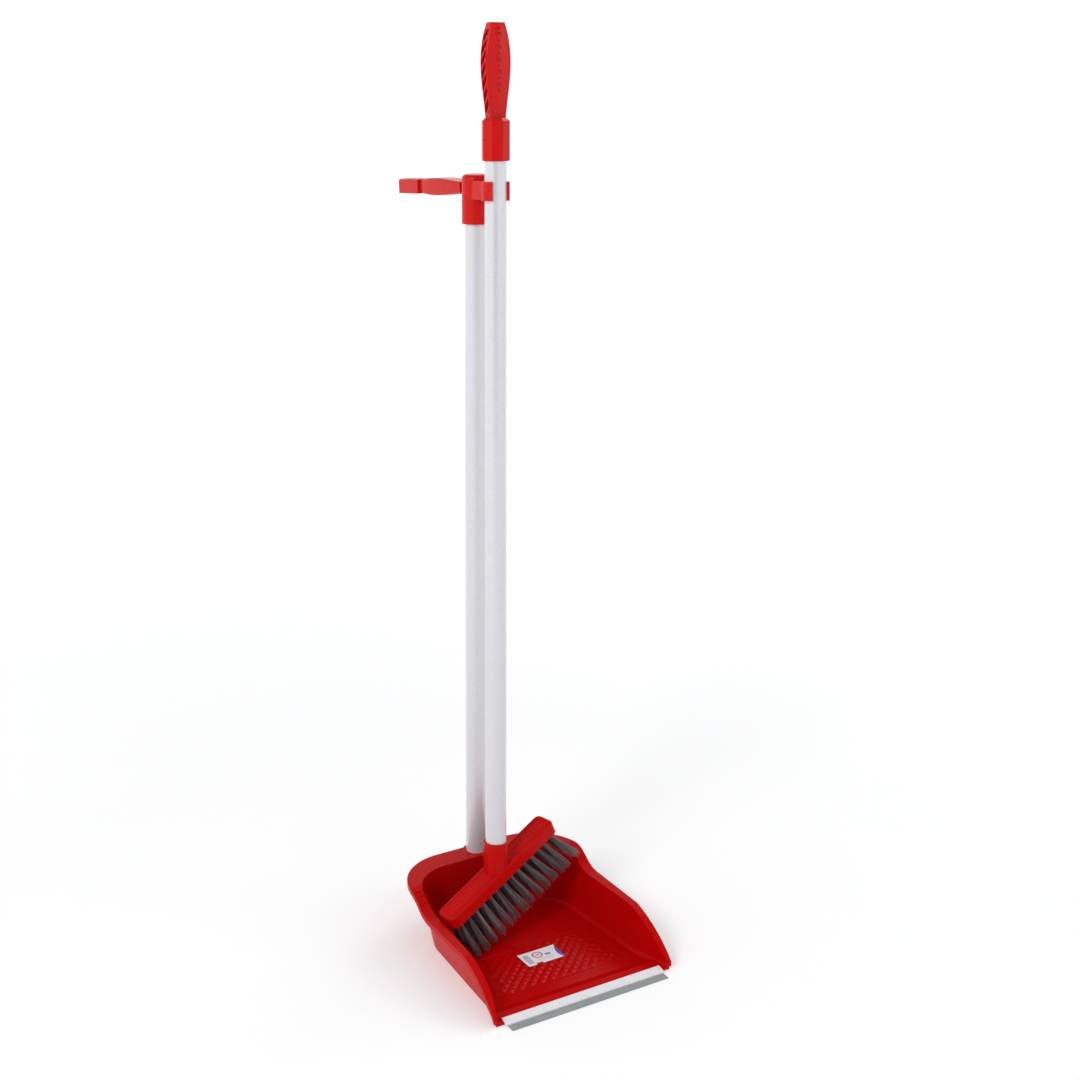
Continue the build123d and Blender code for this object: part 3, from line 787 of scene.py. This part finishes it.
def leaf_size(share):
    """Half width and half depth of the leaf at this share of its length, smooth between stations."""
    last = len(LEAF_STATIONS) - 1
    index = max(k for k in range(last) if LEAF_STATIONS[k][0] <= share)
    around = [LEAF_STATIONS[min(max(index + step, 0), last)] for step in (-1, 0, 1, 2)]
    _, a, b, _ = around
    t = (share - a[0]) / (b[0] - a[0])
    sizes = []
    for column, full in ((1, GRIP_WIDTH), (2, GRIP_DEPTH)):
        p0, p1, p2, p3 = (station[column] for station in around)
        bent = 2 * p1 + (p2 - p0) * t + (2 * p0 - 5 * p1 + 4 * p2 - p3) * t**2
        bent += (3 * p1 - p0 - 3 * p2 + p3) * t**3
        sizes.append(bent / 2 * full / 2)
    return sizes


def grip_bands(material):
    """A band of two facets with a ridge, rings and studs, on the grip's front and on its rear."""
    origin, axis, side, rear = grip_frame()
    vertices, faces = [], []
    for facing in (-1, 1):
        out = rear * facing

        def surface(share, across, rise):
            half_width, half_depth = leaf_size(share)
            height = GRIP_FOOT + share * GRIP_LENGTH
            return origin + axis * height + side * across * half_width + out * (half_depth + rise)

        first = len(vertices)
        for step in range(BAND_STATIONS):
            share = BAND_START + BAND_LENGTH * step / (BAND_STATIONS - 1)
            fade = min(1.0, 6 * min(share, 1.02 - share))
            ridge = (BAND_RIDGE, BAND_RISE * fade)
            profile = [(-0.80, -0.5), (-0.72, 0.05), ridge, (0.72, 0.05), (0.80, -0.5)]
            for across, rise in profile:
                vertices.append(surface(share, -across * facing, rise * MM))
        faces.extend(tube_faces(BAND_STATIONS, len(profile), first))
        turn = [2 * math.pi * k / 14 for k in range(14)]
        for mark in range(RING_COUNT):
            share = RING_START + RING_STEP * mark
            middle = surface(share, -BAND_RIDGE * facing, 1.0 * MM)
            radius = (RING_RADIUS if mark % 2 else STUD_RADIUS) * MM
            circle = [middle + side * radius * math.cos(a) + axis * radius * math.sin(a) for a in turn]
            add_bead(vertices, faces, circle, out, *RING_BEAD, closed=True)
    made = piece("grip_bands", vertices, faces, material)
    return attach(made, "broom")


# ---- stage, light and camera ---------------------------------------------------------
def stage():
    """A wide pale floor that rises softly into a round backdrop."""
    rings, sides = 24, 96
    vertices, faces = [Vector((0, 0, 0))], []
    for ring in range(1, rings + 1):
        share = ring / rings
        beyond = max(0.0, share - FLAT_SHARE)
        radius = FLOOR_RADIUS * share + BACKDROP_SPREAD * beyond
        height = BACKDROP_HEIGHT * (beyond / (1 - FLAT_SHARE)) ** 2
        for side in range(sides):
            angle = 2 * math.pi * side / sides
            vertices.append(Vector((radius * math.cos(angle), radius * math.sin(angle), height)))
    for side in range(sides):
        faces.append((0, 1 + side, 1 + (side + 1) % sides))
    for ring in range(rings - 1):
        here = 1 + ring * sides
        for side in range(sides):
            turn = (side + 1) % sides
            faces.append((here + side, here + sides + side, here + sides + turn, here + turn))
    made = piece("stage_floor", vertices, faces, stage_paint("stage_paint"), smooth=True)
    made.location.z = -0.0002


def area_light(name, place, target, size, power):
    """A round soft lamp that faces its target."""
    data = bpy.data.lights.new(name, "AREA")
    data.shape = "DISK"
    data.size = size
    data.energy = power
    lamp = bpy.data.objects.new(name, data)
    lamp.location = place
    lamp.rotation_euler = (Vector(target) - Vector(place)).to_track_quat("-Z", "Y").to_euler()
    bpy.context.scene.collection.objects.link(lamp)


def flag():
    """A dark flag behind the camera, unseen by it: it gives the pearl tubes their darker middle."""
    wide, high = FLAG_HALF_WIDTH, FLAG_HALF_HEIGHT
    corners = [(-wide, -high), (wide, -high), (wide, high), (-wide, high)]
    centre = Vector(FLAG_CENTRE)
    normal = (Vector(FLAG_TARGET) - centre).normalized()
    side = Vector((0, 0, 1)).cross(normal).normalized()
    up = normal.cross(side)
    vertices = [centre + side * x + up * y for x, y in corners]
    made = piece("stage_flag", vertices, [(0, 1, 2, 3)], flag_cloth("flag_cloth"))
    made.visible_camera = False


def lights():
    """A pale world and three soft lamps."""
    world = bpy.data.worlds.new("studio")
    world.use_nodes = True
    background = world.node_tree.nodes["Background"]
    background.inputs["Color"].default_value = (0.97, 0.98, 1.0, 1)
    background.inputs["Strength"].default_value = WORLD_STRENGTH
    bpy.context.scene.world = world
    for lamp in LAMPS:
        area_light(*lamp)


def camera():
    """The camera, in front of the pan, to its left and level with the top of the broom."""
    data = bpy.data.cameras.new("camera")
    data.sensor_width = 36
    data.lens = CAMERA_LENS
    data.shift_x, data.shift_y = CAMERA_SHIFT
    data.clip_start = 0.05
    data.clip_end = 60
    made = bpy.data.objects.new("camera", data)
    made.location = CAMERA_PLACE
    made.rotation_euler = (math.radians(90 - CAMERA_PITCH), 0, math.radians(CAMERA_YAW))
    bpy.context.scene.collection.objects.link(made)
    bpy.context.scene.camera = made


def paint_nodes(looks):
    """Each CAD node that stays visible gets its finished material."""
    for node, material in looks.items():
        data = frame["nodes"][node].data
        data.materials.clear()
        data.materials.append(material)


def main():
    pan_red, handle_red, block_red = (moulded_plastic(*red) for red in REDS)
    pearl = pearl_paint("tube_pearl_look")
    white = strip_plastic("lip_white_look", (0.84, 0.82, 0.84), (0.76, 0.75, 0.78), 0.42)
    grey = strip_plastic("lip_grey_look", (0.30, 0.33, 0.33), (0.25, 0.28, 0.28), 0.5)
    plug = moulded_plastic("plug_white_look", (0.75, 0.75, 0.75), (0.7, 0.7, 0.7), 0.5, 0.1, 1.45)
    bristle = filament("bristle_look")
    paint_nodes(
        {
            "pan_shell": pan_red,
            "lip_carrier": white,
            "lip_blade": grey,
            "pan_tube": pearl,
            "pan_tube_plug": plug,
            "handle_cap": handle_red,
            "hand_grip": handle_red,
            "broom_clip": handle_red,
            "broom_tube": pearl,
            "thread_insert": plug,
            "broom_grip": handle_red,
            "broom_block": block_red,
            "tuft_staples": steel("staple_look"),
        }
    )
    floor_pyramids(pan_red)
    floor_beads(pan_red)
    rim_ribs(pan_red)
    wall_lines(pan_red)
    label_sheet()
    feet, normal = bristle_rows(bristle)
    block_details(block_red, feet, normal)
    grip_bands(handle_red)
    stage()
    flag()
    lights()
    camera()
    bpy.context.scene.view_settings.view_transform = "Standard"


main()
